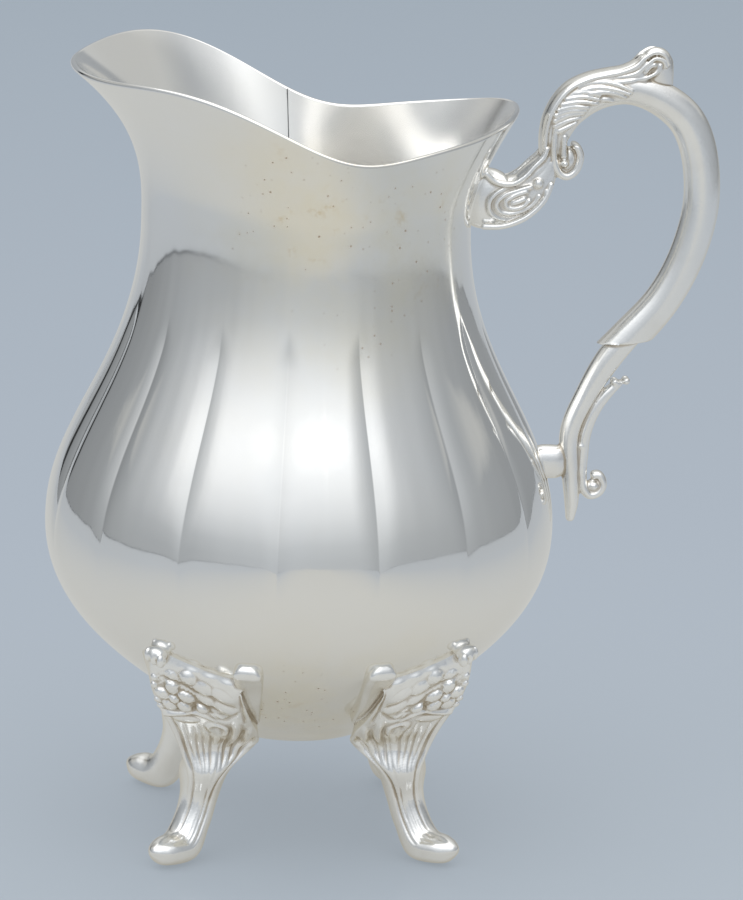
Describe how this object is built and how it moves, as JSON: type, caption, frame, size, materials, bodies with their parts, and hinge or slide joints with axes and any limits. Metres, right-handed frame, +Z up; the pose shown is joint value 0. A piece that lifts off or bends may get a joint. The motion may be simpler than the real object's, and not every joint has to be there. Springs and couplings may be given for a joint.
{
  "type": "creamer",
  "caption": "Silver-plated creamer with a fluted pear-shaped body, a wide flared pouring lip, a cast scroll handle with a thumb-piece and cast cabriole feet with flowers on the knees.",
  "frame": {"origin": "on the table under the middle of the overall bounding box", "axes": "+Z up, +X towards the handle, -X towards the pouring lip, -Y towards the viewer of the picture"},
  "size_m": [0.109, 0.0828, 0.1308],
  "materials": {
    "polished_plate": "polished silver plate on sheet metal, with light tarnish",
    "cast_plate": "silver-plated casting, brownish tarnish in the recesses"
  },
  "bodies": {
    "root": {"body_spout_half": "polished_plate", "body_handle_half": "polished_plate", "base_disc": "polished_plate", "handle": "cast_plate", "foot_handle_rear": "cast_plate", "foot_spout_rear": "cast_plate", "foot_spout_front": "cast_plate", "foot_handle_front": "cast_plate"}
  },
  "joints": []
}
